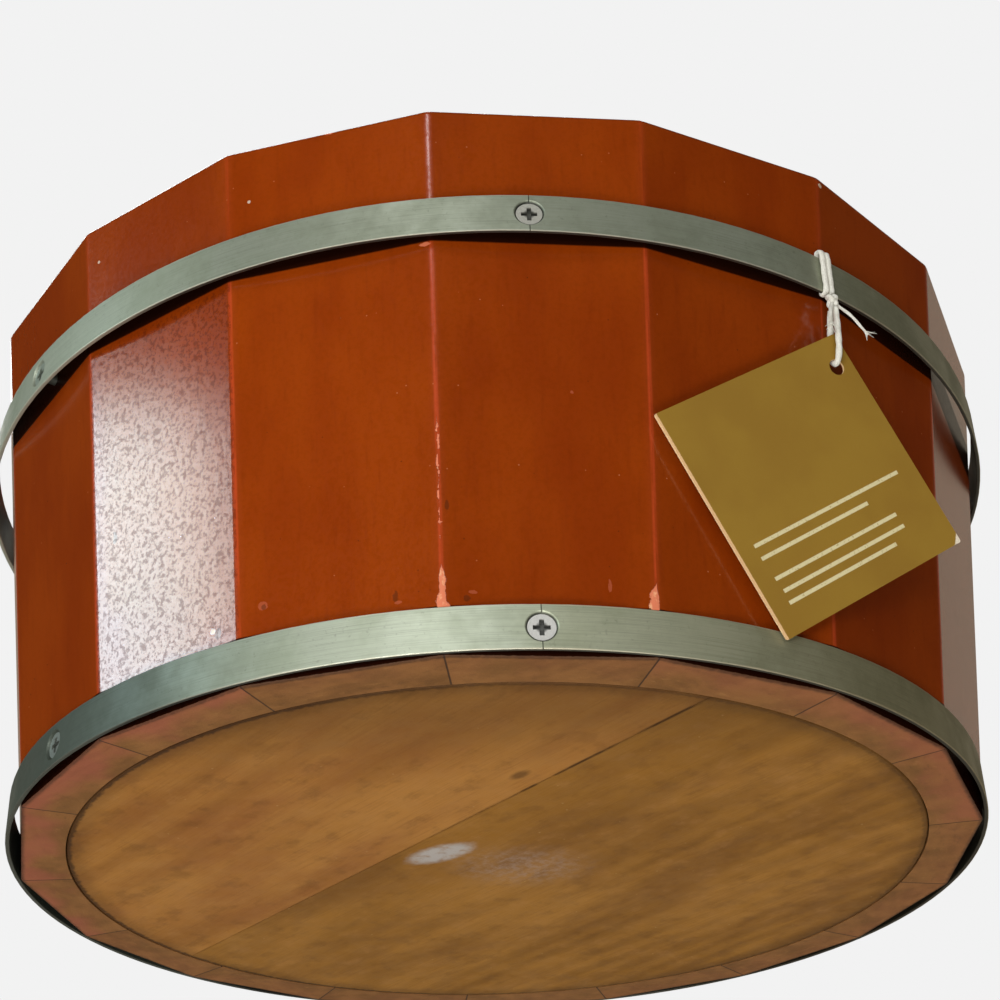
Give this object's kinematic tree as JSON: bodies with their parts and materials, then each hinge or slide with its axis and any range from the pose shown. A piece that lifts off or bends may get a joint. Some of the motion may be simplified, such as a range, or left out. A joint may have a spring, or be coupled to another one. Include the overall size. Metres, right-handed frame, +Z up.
{
  "type": "wooden firkin",
  "caption": "Open wooden tub of flat staves that flare upwards, held by steel hoops, with a flush round bottom and a blank hang tag on a string.",
  "frame": {"origin": "middle of the bottom, in the plane that the tub stands on", "axes": "+Z up along the tub's axis; -Y towards the side with the weld of the upper hoop; the hang tag is between -Y and +X"},
  "size_m": [0.3236, 0.3239, 0.1555],
  "materials": {
    "stave_wood": "satin red-brown paint outside, clear varnish inside and on the lower ends",
    "head_wood": "satin varnish",
    "dowel_wood": "bare",
    "hoop_steel": "dull galvanised strip",
    "screw_steel": "bright zinc",
    "string_cotton": "white twisted cotton",
    "tag_card": "matt olive-gold card"
  },
  "bodies": {
    "tub": {"stave_01": "stave_wood", "stave_02": "stave_wood", "stave_03": "stave_wood", "stave_04": "stave_wood", "stave_05": "stave_wood", "stave_06": "stave_wood", "stave_07": "stave_wood", "stave_08": "stave_wood", "stave_09": "stave_wood", "stave_10": "stave_wood", "stave_11": "stave_wood", "stave_12": "stave_wood", "stave_13": "stave_wood", "stave_14": "stave_wood", "stave_15": "stave_wood", "stave_16": "stave_wood", "stave_17": "stave_wood", "head_board_wide": "head_wood", "head_board_narrow": "head_wood", "head_dowels": "dowel_wood", "lower_hoop": "hoop_steel", "upper_hoop": "hoop_steel", "lower_hoop_screws": "screw_steel", "upper_hoop_screws": "screw_steel", "string_wrap": "string_cotton"},
    "string": {"string_knot": "string_cotton", "tag_string": "string_cotton"},
    "tag": {"hang_tag": "tag_card"}
  },
  "joints": [
    {"name": "string_lift", "type": "hinge", "parent": "tub", "child": "string", "pos_m": [0.0956, -0.1311, 0.1097], "axis": [-0.808, -0.5892, 0], "range_deg": [0, 85]},
    {"name": "tag_swing", "type": "hinge", "parent": "string", "child": "tag", "pos_m": [0.09453, -0.12875, 0.09083], "axis": [0.4124, -0.9008, -0.1357], "range_deg": [-40, 40]}
  ]
}
